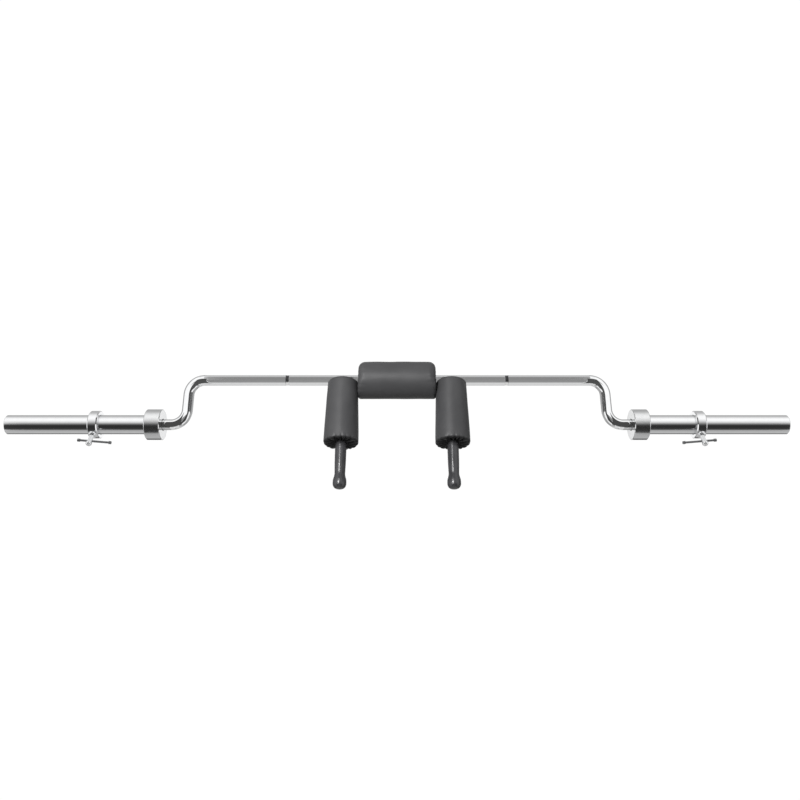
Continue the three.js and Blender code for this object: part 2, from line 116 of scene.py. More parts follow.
ROD_IN_KNOB = 0.0047
HANDLE_RISE = math.radians(20)
HANDLE_R = 0.0125
GRIP_START = 0.162
GRIP_TIP = 0.300
GRIP_END_WALL = 0.008
FIT = 0.0003
EDGE = 0.0003  # how far softened edges are rounded, and less on small pieces
SMALL_EDGE = 0.0002
SCREW_EDGE = 0.00025
AXIS_R = 0.0001  # stands for a hollow profile's point on the axis

# The grip's profile as (along, radius) from the bar's axis.
GRIP_PROFILE = [
    (0.162, 0.0133),
    (0.163, 0.0143),
    (0.200, 0.0143),
    (0.230, 0.0141),
    (0.250, 0.0135),
    (0.262, 0.0133),
    (0.2693, 0.0146),
    (0.2767, 0.0165),
    (0.2835, 0.0170),
    (0.2900, 0.0166),
    (0.2955, 0.0141),
    (0.2988, 0.0093),
    (0.300, 0.0),
]


# Places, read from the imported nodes.
def middle(node):
    low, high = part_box(node)
    return (low + high) / 2


BAR = middle("neck_pad_cover")
SLEEVE = middle("left_sleeve")
CAMBER = math.hypot(BAR.y - SLEEVE.y, BAR.z - SLEEVE.z)
TILT = math.atan2(BAR.z - SLEEVE.z, BAR.y - SLEEVE.y)
FLANGE_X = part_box("right_flange")[0].x
SLEEVE_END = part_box("right_sleeve")[1].x
RING_X = middle("right_lock_ring").x
SHOULDER_X = middle("right_shoulder_pad_cover").x
foot = middle("right_clamp_foot")
CLAMP = Vector((0, foot.y - SLEEVE.y, foot.z - SLEEVE.z)).normalized()
HANDLE = Vector((0, -math.cos(HANDLE_RISE - TILT), math.sin(HANDLE_RISE - TILT)))
SIDES = (("left", -1), ("right", 1))


def placed(origin, along, across=None):
    """A frame at origin whose local Z points along, and whose local X points across or as near it as it can."""
    z = Vector(along).normalized()
    x = Vector(across) if across else (Vector((0, 0, 1)) if abs(z.z) < 0.9 else Vector((1, 0, 0)))
    y = z.cross(x).normalized()
    x = y.cross(z)
    matrix = Matrix((x, y, z)).transposed().to_4x4()
    matrix.translation = origin
    return matrix


# Camera, at the photograph's angle.
CAMERA_LENS = 36.36
CAMERA_TARGET = (0.0077, 0.0684, 0.048)
CAMERA_RISE = math.radians(79)
CAMERA_DISTANCE = 2.1


def add_camera():
    data = bpy.data.cameras.new("camera")
    data.lens = CAMERA_LENS
    data.sensor_width = 36
    camera = bpy.data.objects.new("camera", data)
    bpy.context.scene.collection.objects.link(camera)
    back = Vector((0, -math.cos(CAMERA_RISE), math.sin(CAMERA_RISE)))
    camera.location = Vector(CAMERA_TARGET) + back * CAMERA_DISTANCE
    camera.rotation_mode = "QUATERNION"
    camera.rotation_quaternion = (-back).to_track_quat("-Z", "Y")
    bpy.context.scene.camera = camera


# Node helpers.
def new_tree(owner):
    owner.use_nodes = True
    tree = owner.node_tree
    tree.nodes.clear()
    return tree


def node(tree, kind, inputs=(), **settings):
    made = tree.nodes.new(kind)
    for key, value in settings.items():
        setattr(made, key, value)
    for key, value in dict(inputs).items():
        if isinstance(value, bpy.types.NodeSocket):
            tree.links.new(value, made.inputs[key])
        else:
            made.inputs[key].default_value = value
    return made


def ramp(tree, factor, stops):
    """Colours or greys by factor, straight from stop to stop."""
    made = node(tree, "ShaderNodeValToRGB", {0: factor})
    elements = made.color_ramp.elements
    while len(elements) < len(stops):
        elements.new(0.5)
    for element, (place, value) in zip(elements, stops):
        element.position = place
        colour = value if hasattr(value, "__len__") else (value,) * 3
        element.color = (*colour, 1)
    return made.outputs[0]


def stretched(tree, scale):
    """The object's own coordinates, scaled along each axis."""
    coords = node(tree, "ShaderNodeTexCoord")
    mapped = node(tree, "ShaderNodeMapping", {0: coords.outputs["Object"], 3: scale})
    return mapped.outputs[0]


def surface(name, **constants):
    material = bpy.data.materials.new(name)
    tree = new_tree(material)
    shader = node(tree, "ShaderNodeBsdfPrincipled", constants)
    node(tree, "ShaderNodeOutputMaterial", {0: shader.outputs[0]})
    return material, tree, shader


def metal(name, colour, dull, low, high, grain, depth):
    """Metal whose polish varies from roughness low to high, with fine turning marks round local Z."""
    material, tree, shader = surface(name, Metallic=1.0)
    cloudy = node(tree, "ShaderNodeTexNoise", {0: stretched(tree, (22, 22, 22)), "Detail": 5.0})
    marks = node(tree, "ShaderNodeTexNoise", {0: stretched(tree, grain), "Detail": 3.0})
    tree.links.new(ramp(tree, cloudy.outputs[0], [(0.3, colour), (0.75, dull)]), shader.inputs["Base Color"])
    both = node(tree, "ShaderNodeMix", {0: 0.4, 2: cloudy.outputs[0], 3: marks.outputs[0]})
    polish = node(tree, "ShaderNodeMapRange", {0: both.outputs[0], 1: 0.3, 2: 0.7, 3: low, 4: high})
    tree.links.new(polish.outputs[0], shader.inputs["Roughness"])
    bump = node(tree, "ShaderNodeBump", {0: 0.12, 1: depth, "Height": marks.outputs[0]})
    tree.links.new(bump.outputs[0], shader.inputs["Normal"])
    return material


def knurled_mark():
    """The turned mark on the bar: finely knurled and dark, with a painted highlight along its front side."""
    material, tree, shader = surface("mark", Metallic=1.0)
    coords = node(tree, "ShaderNodeTexCoord").outputs["Object"]
    height = node(tree, "ShaderNodeSeparateXYZ", {0: coords}).outputs[1]
    # Painted highlight: the mark's colour is near white along its front side and dark elsewhere.
    painted_highlight_split = node(tree, "ShaderNodeMapRange", {0: height, 1: -0.0062, 2: -0.0044, 3: 0.0, 4: 1.0})
    dark = ramp(tree, painted_highlight_split.outputs[0], [(0.0, (0.95, 0.95, 0.95)), (1.0, (0.13, 0.13, 0.135))])
    tree.links.new(dark, shader.inputs["Base Color"])
    shader.inputs["Roughness"].default_value = 0.22
    knurl = node(tree, "ShaderNodeTexVoronoi", {0: coords, "Scale": 1400.0}, feature="F1")
    bump = node(tree, "ShaderNodeBump", {0: 0.25, 1: 0.00005, "Height": knurl.outputs[0]})
    tree.links.new(bump.outputs[0], shader.inputs["Normal"])
    return material


def vinyl():
    """Matt black vinyl with a fine leather grain. Painted shade darkens it and lowers its shine on the rolls' gathered
    ends, most in the creases.
    """
    material, tree, shader = surface("vinyl", Metallic=0.0)
    coords = stretched(tree, (1, 1, 1))
    cells = node(tree, "ShaderNodeTexVoronoi", {0: coords, "Scale": 900.0}, feature="F1")
    fine = node(tree, "ShaderNodeTexNoise", {0: coords, "Scale": 1500.0, "Detail": 3.0})
    cloudy = node(tree, "ShaderNodeTexNoise", {0: coords, "Scale": 14.0, "Detail": 4.0})
    # Painted shade on the gathered ends, read from the mesh: it mixes the colour towards near black and lowers the
    # shine.
    gather = node(tree, "ShaderNodeAttribute", attribute_name="gather")
    face = ramp(tree, cloudy.outputs[0], [(0.3, (0.052, 0.052, 0.054)), (0.7, (0.064, 0.064, 0.066))])
    deep = node(tree, "ShaderNodeMix", data_type="RGBA")
    tree.links.new(gather.outputs["Fac"], deep.inputs[0])
    tree.links.new(face, deep.inputs[6])
    deep.inputs[7].default_value = (0.009, 0.009, 0.0095, 1)
    tree.links.new(deep.outputs[2], shader.inputs["Base Color"])
    polish = node(tree, "ShaderNodeMapRange", {0: cloudy.outputs[0], 1: 0.3, 2: 0.7, 3: 0.42, 4: 0.50})
    tree.links.new(polish.outputs[0], shader.inputs["Roughness"])
    sheen = node(tree, "ShaderNodeMapRange", {0: gather.outputs["Fac"], 3: 0.26, 4: 0.13})
    tree.links.new(sheen.outputs[0], shader.inputs["Specular IOR Level"])
    height = node(tree, "ShaderNodeMix", {0: 0.35, 2: cells.outputs[0], 3: fine.outputs[0]})
    bump = node(tree, "ShaderNodeBump", {0: 0.35, 1: 0.00025, "Height": height.outputs[0]})
    tree.links.new(bump.outputs[0], shader.inputs["Normal"])
    return material


def rubber():
    """Moulded rubber, glossy where hands have polished it."""
    material, tree, shader = surface("rubber", Metallic=0.0)
    coords = stretched(tree, (1, 1, 1))
    cloudy = node(tree, "ShaderNodeTexNoise", {0: coords, "Scale": 45.0, "Detail": 4.0})
    fine = node(tree, "ShaderNodeTexNoise", {0: coords, "Scale": 1100.0, "Detail": 2.0})
    face = ramp(tree, cloudy.outputs[0], [(0.3, (0.030, 0.030, 0.032)), (0.7, (0.042, 0.042, 0.045))])
    tree.links.new(face, shader.inputs["Base Color"])
    polish = node(tree, "ShaderNodeMapRange", {0: cloudy.outputs[0], 1: 0.35, 2: 0.7, 3: 0.22, 4: 0.31})
    tree.links.new(polish.outputs[0], shader.inputs["Roughness"])
    bump = node(tree, "ShaderNodeBump", {0: 0.2, 1: 0.00005, "Height": fine.outputs[0]})
    tree.links.new(bump.outputs[0], shader.inputs["Normal"])
    return material


def twisted_thread():
    """Black polyester thread, twisted."""
    material, tree, shader = surface("thread", Metallic=0.0)
    twist = node(tree, "ShaderNodeTexWave", {0: stretched(tree, (1, 1, 1)), "Scale": 900.0}, bands_direction="DIAGONAL")
    tone = ramp(tree, twist.outputs["Fac"], [(0.2, (0.012, 0.012, 0.013)), (0.8, (0.035, 0.035, 0.037))])
    tree.links.new(tone, shader.inputs["Base Color"])
    shader.inputs["Roughness"].default_value = 0.7
    bump = node(tree, "ShaderNodeBump", {0: 0.4, 1: 0.0001, "Height": twist.outputs["Fac"]})
    tree.links.new(bump.outputs[0], shader.inputs["Normal"])
    return material


CHROME = metal("chrome", (0.90, 0.905, 0.91), (0.86, 0.865, 0.875), 0.04, 0.09, (60, 60, 900), 0.00001)
SATIN = metal("satin_chrome", (0.80, 0.805, 0.81), (0.75, 0.755, 0.76), 0.06, 0.12, (60, 60, 900), 0.00001)
DARK_STEEL = metal("dark_steel", (0.34, 0.345, 0.35), (0.24, 0.243, 0.25), 0.26, 0.38, (80, 80, 1400), 0.00004)
BRONZE = metal("bronze", (0.62, 0.42, 0.20), (0.50, 0.33, 0.15), 0.28, 0.42, (80, 80, 1400), 0.00006)
STEEL = metal("steel", (0.42, 0.43, 0.45), (0.32, 0.33, 0.35), 0.30, 0.45, (80, 80, 1400), 0.00006)
MARK = knurled_mark()
VINYL = vinyl()
RUBBER = rubber()
THREAD = twisted_thread()


# Mesh helpers.
def new_object(name, vertices, faces, material, matrix=Matrix.Identity(4)):
    mesh = bpy.data.meshes.new(name)
    mesh.from_pydata([tuple(v) for v in vertices], [], faces)
    mesh.shade_smooth()
    mesh.materials.append(material)
    made = bpy.data.objects.new(name, mesh)
    bpy.context.scene.collection.objects.link(made)
    made.matrix_world = matrix
    return made


def bake(obj):
    """Puts what the modifiers make into the mesh itself."""
    graph = bpy.context.evaluated_depsgraph_get()
    made = bpy.data.meshes.new_from_object(obj.evaluated_get(graph))
    obj.modifiers.clear()
    obj.data = made


def combine(obj, other, operation):
    change = obj.modifiers.new("combine", "BOOLEAN")
    change.operation = operation
    change.object = other
    change.solver = "EXACT"
    bake(obj)
    bpy.data.objects.remove(other)


def softened(obj, width):
    """Rounds the sharp edges a little and keeps the flats' own normals, so that a mirror finish reads clean."""
    bevel = obj.modifiers.new("edges", "BEVEL")
    bevel.width = width
    bevel.segments = 3
    bevel.limit_method = "ANGLE"
    bevel.angle_limit = math.radians(25)
    bevel.harden_normals = True
    bevel.use_clamp_overlap = True
    bake(obj)
    obj.data.shade_smooth()
    return obj


def rings(points_of_ring, count, loops_round):
    """Faces between count rings of points_of_ring points. With loops_round the last ring joins the first."""
    faces = []
    for row in range(count if loops_round else count - 1):
        here = row * points_of_ring
        beyond = ((row + 1) % count) * points_of_ring
        for i in range(points_of_ring):
            after = (i + 1) % points_of_ring
            faces.append((here + i, here + after, beyond + after, beyond + i))
    return faces


def turned(name, profile, material, matrix, sides=128, hollow=False):
    """A lathe-turned solid. The profile is (along, radius) points from end to end, outward first, and closes on the
    axis, or on itself if the solid is hollow."""
    points = [p for p in profile if hollow or p[1] > 0]
    vertices = [
        (r * math.cos(2 * math.pi * i / sides), r * math.sin(2 * math.pi * i / sides), z)
        for z, r in points
        for i in range(sides)
    ]
    faces = rings(sides, len(points), hollow)
    if not hollow:
        faces.append(tuple(reversed(range(sides))))
        last = (len(points) - 1) * sides
        faces.append(tuple(range(last, last + sides)))
    return new_object(name, vertices, faces, material, matrix)


def arc(along, radius, round_r, start, end, steps=8):
    """Points of a rounded edge. Angle 0 points to larger radius, and 90 degrees along the axis."""
    return [
        (
            along + round_r * math.sin(math.radians(start + (end - start) * i / steps)),
            radius + round_r * math.cos(math.radians(start + (end - start) * i / steps)),
        )
        for i in range(steps + 1)
    ]


def smooth_line(points, steps):
    """A smooth curve through the points, as Catmull and Rom draw it."""
    points = np.array(points)
    padded = np.vstack([2 * points[0] - points[1], points, 2 * points[-1] - points[-2]])
    out = []
    for i in range(1, len(padded) - 2):
        a, b, c, d = padded[i - 1 : i + 3]
        for t in np.arange(steps) / steps:
            square = (2 * a - 5 * b + 4 * c - d) * t**2
            cube = (3 * b - 3 * c + d - a) * t**3
            out.append(0.5 * (2 * b + (c - a) * t + square + cube))
    return [tuple(p) for p in out] + [tuple(points[-1])]


# The bent bar, swept through round sections in its own plane.
def bent_bar():
    sections = []
    at = Vector((0, 0))
    heading = 0.0

    def section(radius):
        sections.append((at.copy(), heading, radius))

    def straight(length, radius, support=0.0008):
        nonlocal at
        ahead = Vector((math.cos(heading), math.sin(heading)))
        stops = [length] if length < 4 * support else [support, length / 2, length - support, length]
        start = at.copy()
        for stop in stops:
            at = start + ahead * stop
            section(radius)

    def bend(angle, steps=30):
        nonlocal at, heading
        reach = math.copysign(BEND_R, angle)
        before = heading
        centre = at + Vector((-math.sin(before), math.cos(before))) * reach
        for i in range(1, steps + 1):
            heading = before + angle * i / steps
            at = centre - Vector((-math.sin(heading), math.cos(heading))) * reach
            section(BAR_R)

    drop = (CAMBER - 2 * BEND_R * (1 - math.cos(BEND_ANGLE))) / math.sin(BEND_ANGLE)
    straight(MARK_X - MARK_WIDTH / 2, BAR_R)
    straight(MARK_DEPTH, BAR_R - MARK_DEPTH)
    straight(MARK_WIDTH - 2 * MARK_DEPTH, BAR_R - MARK_DEPTH)
    straight(MARK_DEPTH, BAR_R)
    straight(MAIN_HALF - MARK_X - MARK_WIDTH / 2, BAR_R)
    bend(-BEND_ANGLE)
    straight(drop, BAR_R)
    bend(BEND_ANGLE)
    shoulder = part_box("right_thrust_washer")[0].x - FIT
    straight(shoulder - FLANGE_X + FLANGE_STANDOFF, BAR_R)
    section(JOURNAL_R)
    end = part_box("bar_shaft")[1].x
    straight(end - shoulder - JOURNAL_CHAMFER, JOURNAL_R)
    straight(JOURNAL_CHAMFER, JOURNAL_R - JOURNAL_CHAMFER)
    left = [(Vector((-p.x, p.y)), -h, r) for p, h, r in reversed(sections)]
    vertices = []
    for p, h, r in left + sections:
        for i in range(BAR_SIDES):
            turn = 2 * math.pi * i / BAR_SIDES
            aside = r * math.cos(turn)
            vertices.append((p.x - aside * math.sin(h), p.y + aside * math.cos(h), r * math.sin(turn)))
    count = 2 * len(sections)
    faces = rings(BAR_SIDES, count, False)
    faces.append(tuple(reversed(range(BAR_SIDES))))
    faces.append(tuple(range((count - 1) * BAR_SIDES, count * BAR_SIDES)))
    turn_to_rest = Matrix.Translation(BAR) @ Matrix.Rotation(TILT, 4, "X")
    bar = softened(new_object("bar", vertices, faces, CHROME, turn_to_rest), SMALL_EDGE)
    bar.data.materials.append(MARK)
    for face in bar.data.polygons:
        x, y, z = face.center
        if abs(abs(x) - MARK_X) < MARK_WIDTH / 2 and math.hypot(y, z) < BAR_R - MARK_DEPTH / 2:
            face.material_index = 1
    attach(bar, "bar")
    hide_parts("bar_shaft")


# The turning sleeve, its flange and its end cap.
def sleeve_end(side, sign):
    out = Vector((sign, 0, 0))
    inner = placed(Vector((sign * FLANGE_X, SLEEVE.y, SLEEVE.z)), out)
    length = SLEEVE_END - FLANGE_X
    bore = SLEEVE_R + FIT
    flange = turned(
        side + "_flange_ring",
        [
            (0, FLANGE_HOLE_R),
            (0, FLANGE_R - FLANGE_CHAMFER),
            (FLANGE_CHAMFER, FLANGE_R),
            (FLANGE_LENGTH - FLANGE_CHAMFER, FLANGE_R),
            (FLANGE_LENGTH, FLANGE_R - FLANGE_CHAMFER),
            (FLANGE_LENGTH, bore),
            (FLANGE_WEB, bore),
            (FLANGE_WEB, FLANGE_HOLE_R),
        ],
        SATIN,
        inner,
        160,
        True,
    )
    start = FLANGE_WEB + FIT
    tube = turned(
        side + "_sleeve_tube",
        [
            (start, SLEEVE_BORE_R + BUSHING_SEAT_DEPTH),
            (start, SLEEVE_R),
            (length - SLEEVE_CHAMFER, SLEEVE_R),
            (length, SLEEVE_R - SLEEVE_CHAMFER),
            (length, CAP_R + FIT),
            (start + BUSHING_LIP_END, CAP_R + FIT),
            (start + BUSHING_LIP_END, SLEEVE_BORE_R),
            (start + BUSHING_SEAT_LENGTH, SLEEVE_BORE_R + BUSHING_SEAT_DEPTH),
        ],
        CHROME,
        inner,
        128,
        True,
    )
    top = length - CAP_SUNK
    cap = turned(
        side + "_cap_plug",
        [
            (top - CAP_THICKNESS, CAP_R - CAP_CHAMFER),
            (top - CAP_THICKNESS + CAP_CHAMFER, CAP_R),
            (top - CAP_CHAMFER, CAP_R),
            (top, CAP_R - CAP_CHAMFER),
            (top, CAP_DIMPLE_R),
            (top - CAP_DIMPLE_DEPTH, 0.0006),
        ],
        CHROME,
        inner,
        96,
    )
    for piece, node_name in ((flange, "flange"), (tube, "sleeve"), (cap, "end_cap")):
        softened(piece, EDGE)
        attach(piece, side + "_plate_sleeve")
        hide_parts(side + "_" + node_name)


# The lock ring with its boss, screw and sliding tommy bar.
def lock_ring(side, sign):
    centre = Vector((sign * RING_X, SLEEVE.y, SLEEVE.z))
    half = RING_WIDTH / 2
    ring = turned(
        side + "_ring",
        [
            (-half, RING_BORE_R + RING_BORE_CHAMFER),
            (-half, RING_R - RING_CHAMFER),
            (-half + RING_CHAMFER, RING_R),
            (half - RING_CHAMFER, RING_R),
            (half, RING_R - RING_CHAMFER),
            (half, RING_BORE_R + RING_BORE_CHAMFER),
            (half - RING_BORE_CHAMFER, RING_BORE_R),
            (-half + RING_BORE_CHAMFER, RING_BORE_R),
        ],
        CHROME,
        placed(centre, (sign, 0, 0)),
        144,
        True,
    )
    stem = placed(centre, CLAMP, (1, 0, 0))
    boss = turned(
        side + "_boss",
        [(BOSS_START, BOSS_R), (BOSS_TOP - BOSS_CHAMFER, BOSS_R), (BOSS_TOP, BOSS_R - BOSS_CHAMFER)],
        CHROME,
        stem,
        64,
    )
    combine(ring, boss, "UNION")
    hole = [(0.02, SCREW_R + FIT), (0.05, SCREW_R + FIT)]
    combine(ring, turned("hole", hole, CHROME, stem, 48), "DIFFERENCE")
    softened(ring, EDGE)
    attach(ring, side + "_collar")
    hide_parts(side + "_lock_ring")

    dome = arc(SCREW_TIP - HEAD_ROUND, HEAD_R - HEAD_ROUND, HEAD_ROUND, 0, 88, 10)
    screw = turned(
        side + "_screw",
        [
            (SCREW_START, SCREW_R - SCREW_CHAMFER),
            (SCREW_START + SCREW_CHAMFER, SCREW_R),
            (HEAD_START - HEAD_FILLET, SCREW_R),
            (HEAD_START, SCREW_R + 0.0004),
            (HEAD_START, HEAD_R - SCREW_CHAMFER),
            (HEAD_START + SCREW_CHAMFER, HEAD_R),
            *dome,
        ],
        CHROME,
        stem,
        64,
    )
    tommy = Vector((sign * math.cos(TOMMY_TURN), CLAMP.z * math.sin(TOMMY_TURN), -CLAMP.y * math.sin(TOMMY_TURN)))
    through = placed(centre + CLAMP * TOMMY_HEIGHT, tommy)
    hole = [(-0.012, TOMMY_R + FIT), (0.012, TOMMY_R + FIT)]
    combine(screw, turned("hole", hole, CHROME, through, 40), "DIFFERENCE")
    softened(screw, SCREW_EDGE)
    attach(screw, side + "_screw")
    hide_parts(side + "_clamp_screw")

    middle_of_bar = placed(centre + CLAMP * TOMMY_HEIGHT - tommy * TOMMY_SHIFT, tommy)
    rod = turned(
        side + "_tommy_rod",
        [
            *arc(-TOMMY_HALF + KNOB_ROUND, KNOB_R - KNOB_ROUND, KNOB_ROUND, -88, 0, 6),
            (-TOMMY_HALF + KNOB_LENGTH, KNOB_R),
            (-TOMMY_HALF + KNOB_LENGTH, TOMMY_R),
            (TOMMY_HALF - KNOB_LENGTH + ROD_IN_KNOB, TOMMY_R),
        ],
        DARK_STEEL,
        middle_of_bar,
        48,
    )
    end = TOMMY_HALF - KNOB_LENGTH
    knob = turned(
        side + "_tommy_knob",
        [
            (end, TOMMY_R + FIT),
            (end, KNOB_R),
            *arc(TOMMY_HALF - KNOB_ROUND, KNOB_R - KNOB_ROUND, KNOB_ROUND, 0, 88, 6),
            (TOMMY_HALF, AXIS_R),
            (end + KNOB_BORE, AXIS_R),
            (end + KNOB_BORE, TOMMY_R + FIT),
        ],
        DARK_STEEL,
        middle_of_bar,
        48,
        True,
    )
    for piece, node_name in ((rod, "tommy_bar"), (knob, "tommy_cap")):
        softened(piece, SMALL_EDGE)
        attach(piece, side + "_tommy")
        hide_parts(side + "_" + node_name)


# Rolls of foam in gathered vinyl covers. Places are along the roll and radii from its axis. A fold is its depth, the
# number of pleats and a seed. A dish is how far an end's middle is drawn in. Tight is the turn of the side where the
# rims are rounded less, and that rounding. Slack and cap are the cloth's: its shrinking, and the most that it may move.
# Each roll also sets the painted shade on its gathered ends: how dark it is, and how far over the rim it reaches.
ROLL_SIDES = 320
FACE_ROWS = 26
RIM_ROWS = 12
SIDE_ROWS = 80
BORE_DEPTH = 0.012
TIGHT_BULGE = 0.0022
FOLD_REACH = 0.013
HOLE_LIP = 0.0016
SEAM_DEPTH = 0.0011
SEAM_REACH = 0.0022
UNEVEN = 0.00045
NECK = dict(
    start=-0.100,
    end=0.100,
    start_r=0.0485,
    end_r=0.0485,
    edge_r=0.017,
    start_hole=0.0143,
    end_hole=0.0143,
    start_dish=0.0015,
    end_dish=0.0015,
    start_fold=(0.0018, 16, 0.4),
    end_fold=(0.0018, 16, 1.9),
    scallop=0.3,
    painted_shade_strength=0.6,
    painted_shade_rim=0.35,
    seam=math.radians(-40),
    tight=(math.pi, 0.008),
    slack=-0.003,
    cap=0.0016,
)
SHOULDER = dict(
    start=0.006,
    end=0.180,
    start_r=0.0393,
    end_r=0.0442,
    edge_r=0.006,
    start_hole=0.0128,
    end_hole=0.0146,
    start_dish=0.0,
    end_dish=0.003,
    start_fold=(0.0, 16, 0.7),
    end_fold=(0.0046, 16, 2.6),
    scallop=0.3,
    painted_shade_strength=1.0,
    painted_shade_rim=1.0,
    seam=math.radians(-90),
    saddle=0.0145,
    slack=-0.003,
    cap=0.0016,
)


def fold_height(turn, pleats, seed):
    """0 in a crease and 1 on a ridge of the gathers, with uneven folds."""
    warp = 0.07 * math.sin(3 * turn + seed) + 0.05 * math.sin(5 * turn + 2.3 * seed)
    wave = abs(math.sin(pleats * (turn + warp) / 2))
    return wave**0.75


def fold_size(turn, seed):
    """How deep the fold at this turn is beside the others."""
    return 1 + 0.18 * math.sin(2 * turn + 1.7 * seed) + 0.14 * math.sin(7 * turn + seed)


def face_rows(end, radius, edge_r, hole_r, dish, outward):
    """Rows from the hole of an end face out over its rim: along, radius, how far in from the rim, how far round the
    rim, which end."""
    out = []
    for i in range(FACE_ROWS):
        share = 1 - i / FACE_ROWS
        r = hole_r + (radius - edge_r - hole_r) * (1 - share)
        out.append((end - outward * dish * share**2, r, share, 0.0, outward))
    for i in range(RIM_ROWS + 1):
        angle = math.pi / 2 * i / RIM_ROWS
        along = end - outward * edge_r * (1 - math.cos(angle))
        out.append((along, radius - edge_r + edge_r * math.sin(angle), 0.0, i / RIM_ROWS, outward))
    return out


def roll_rows(roll):
    """All rows of a cover: one end from its hole, the side, the other end back to its hole, and the bore."""
    first = face_rows(roll["start"], roll["start_r"], roll["edge_r"], roll["start_hole"], roll["start_dish"], -1)
    last = face_rows(roll["end"], roll["end_r"], roll["edge_r"], roll["end_hole"], roll["end_dish"], 1)
    low, high = first[-1][0], last[-1][0]
    side = []
    for i in range(1, SIDE_ROWS):
        share = i / SIDE_ROWS
        radius = roll["start_r"] + (roll["end_r"] - roll["start_r"]) * share
        side.append((low + (high - low) * share, radius, 0.0, 1.0, 0))
    inner = [
        (roll["end"] - BORE_DEPTH, roll["end_hole"] + 0.0004, 0.0, 1.0, None),
        (roll["start"] + BORE_DEPTH, roll["start_hole"] + 0.0004, 0.0, 1.0, None),
    ]
    return [*first, *side, *reversed(last), *inner]


def tightened(turn, roll, row):
    """Where a point of an end lies once the rims are rounded less on the roll's tight side: along and radius."""
    along, _, share, over, outward = row
    towards, tight_r = roll["tight"]
    front = max(0, math.cos(turn - towards)) ** 0.8
    edge_r = roll["edge_r"] + (tight_r - roll["edge_r"]) * front
    inner_r = roll["start_r"] - edge_r
    if over or not share:
        angle = math.pi / 2 * over
        end = roll["end"] if outward > 0 else roll["start"]
        along = end - outward * edge_r * (1 - math.cos(angle))
        radius = inner_r + edge_r * math.sin(angle)
    else:
        radius = roll["end_hole"] + (inner_r - roll["end_hole"]) * (1 - share)
    return along + outward * TIGHT_BULGE * front * (1 - share), radius


def fold_in(turn, roll, row):
    """Moves one point of a row into the folds: its place along the roll, its radius and how deep in painted shade it
    is.
    """
    along, radius, share, over, outward = row
    if outward is None:
        return along, radius, 0.0
    if outward and "tight" in roll:
        along, radius = tightened(turn, roll, row)
    low, high = roll["start"] + roll["edge_r"], roll["end"] - roll["edge_r"]
    dark = 0.0
    if outward:
        depth, pleats, seed = roll["start_fold" if outward < 0 else "end_fold"]
        ridge = fold_height(turn + 0.12 * share * outward, pleats, seed)
        size = depth * fold_size(turn, seed)
        # The folds are weaker towards the rim and next to the hole, and end over the rim, which they scallop.
        amount = (0.4 + 0.6 * min(1, share / 0.4)) * (1 - over) * (1 - 0.35 * max(0, share - 0.75) / 0.25)
        along += outward * amount * (0.25 * depth * ridge - size * (1 - ridge))
        radius -= size * roll["scallop"] * max(0, 1 - share / 0.3) * (1 - ridge)
        lip = max(0, share - 0.86) / 0.14
        along += outward * HOLE_LIP * math.sin(math.pi * lip)
        # Painted shade over the end face, fading out over the rim and deepest in the creases of the gathers.
        dark = roll["painted_shade_strength"] * (1 - min(1, over / roll["painted_shade_rim"]) ** 2) * (0.8 + 0.2 * (1 - ridge))
    else:
        for end, fold in ((low, "start_fold"), (high, "end_fold")):
            depth, pleats, seed = roll[fold]
            near = max(0, 1 - abs(along - end) / FOLD_REACH) ** 2
            radius -= depth * fold_size(turn, seed) * roll["scallop"] * near * (1 - fold_height(turn, pleats, seed))
        aside = abs((turn - roll["seam"] + math.pi) % (2 * math.pi) - math.pi) * radius
        radius -= SEAM_DEPTH * max(0, 1 - aside / SEAM_REACH)
    sample = Vector((math.cos(turn) * 2.1, math.sin(turn) * 2.1, along * 28 + roll["end_fold"][2]))
    return along, radius + UNEVEN * noise.noise(sample), dark


def cover(name, matrix, roll):
    """One cover with its folds. A saddle is the radius of the bar that the start of the roll is hollowed over."""
    rows = roll_rows(roll)
    saddle = roll.get("saddle")
    vertices = []
    gather = []
    for row in rows:
        for i in range(ROLL_SIDES):
            turn = 2 * math.pi * i / ROLL_SIDES
            along, radius, dark = fold_in(turn, roll, row)
            x, y = radius * math.cos(turn), radius * math.sin(turn)
            if saddle and abs(y) < saddle and along < math.sqrt(saddle**2 - y**2):
                along = math.sqrt(saddle**2 - y**2)
            vertices.append((x, y, along))
            gather.append(dark)
    faces = rings(ROLL_SIDES, len(rows), True)
    made = new_object(name, vertices, faces, VINYL, matrix)
    # The painted shade of the ends is stored on the mesh for the vinyl's colour.
    attribute = made.data.attributes.new("gather", "FLOAT", "POINT")
    attribute.data.foreach_set("value", gather)
    return made


def finer(field, axis):
    """Twice as many values round an axis, the new ones on a smooth curve between their neighbours."""
    before, after, beyond = (np.roll(field, shift, axis) for shift in (1, -1, -2))
    between = (9 * (field + after) - before - beyond) / 16
    pairs = np.stack((field, between), axis + 1)
    shape = list(field.shape)
    shape[axis] *= 2
    return pairs.reshape(shape)


SWELL_FRAMES = 20
HOLE_HELD = 0.004
SEAM_HELD = 0.0035
SADDLE_HELD = 0.018


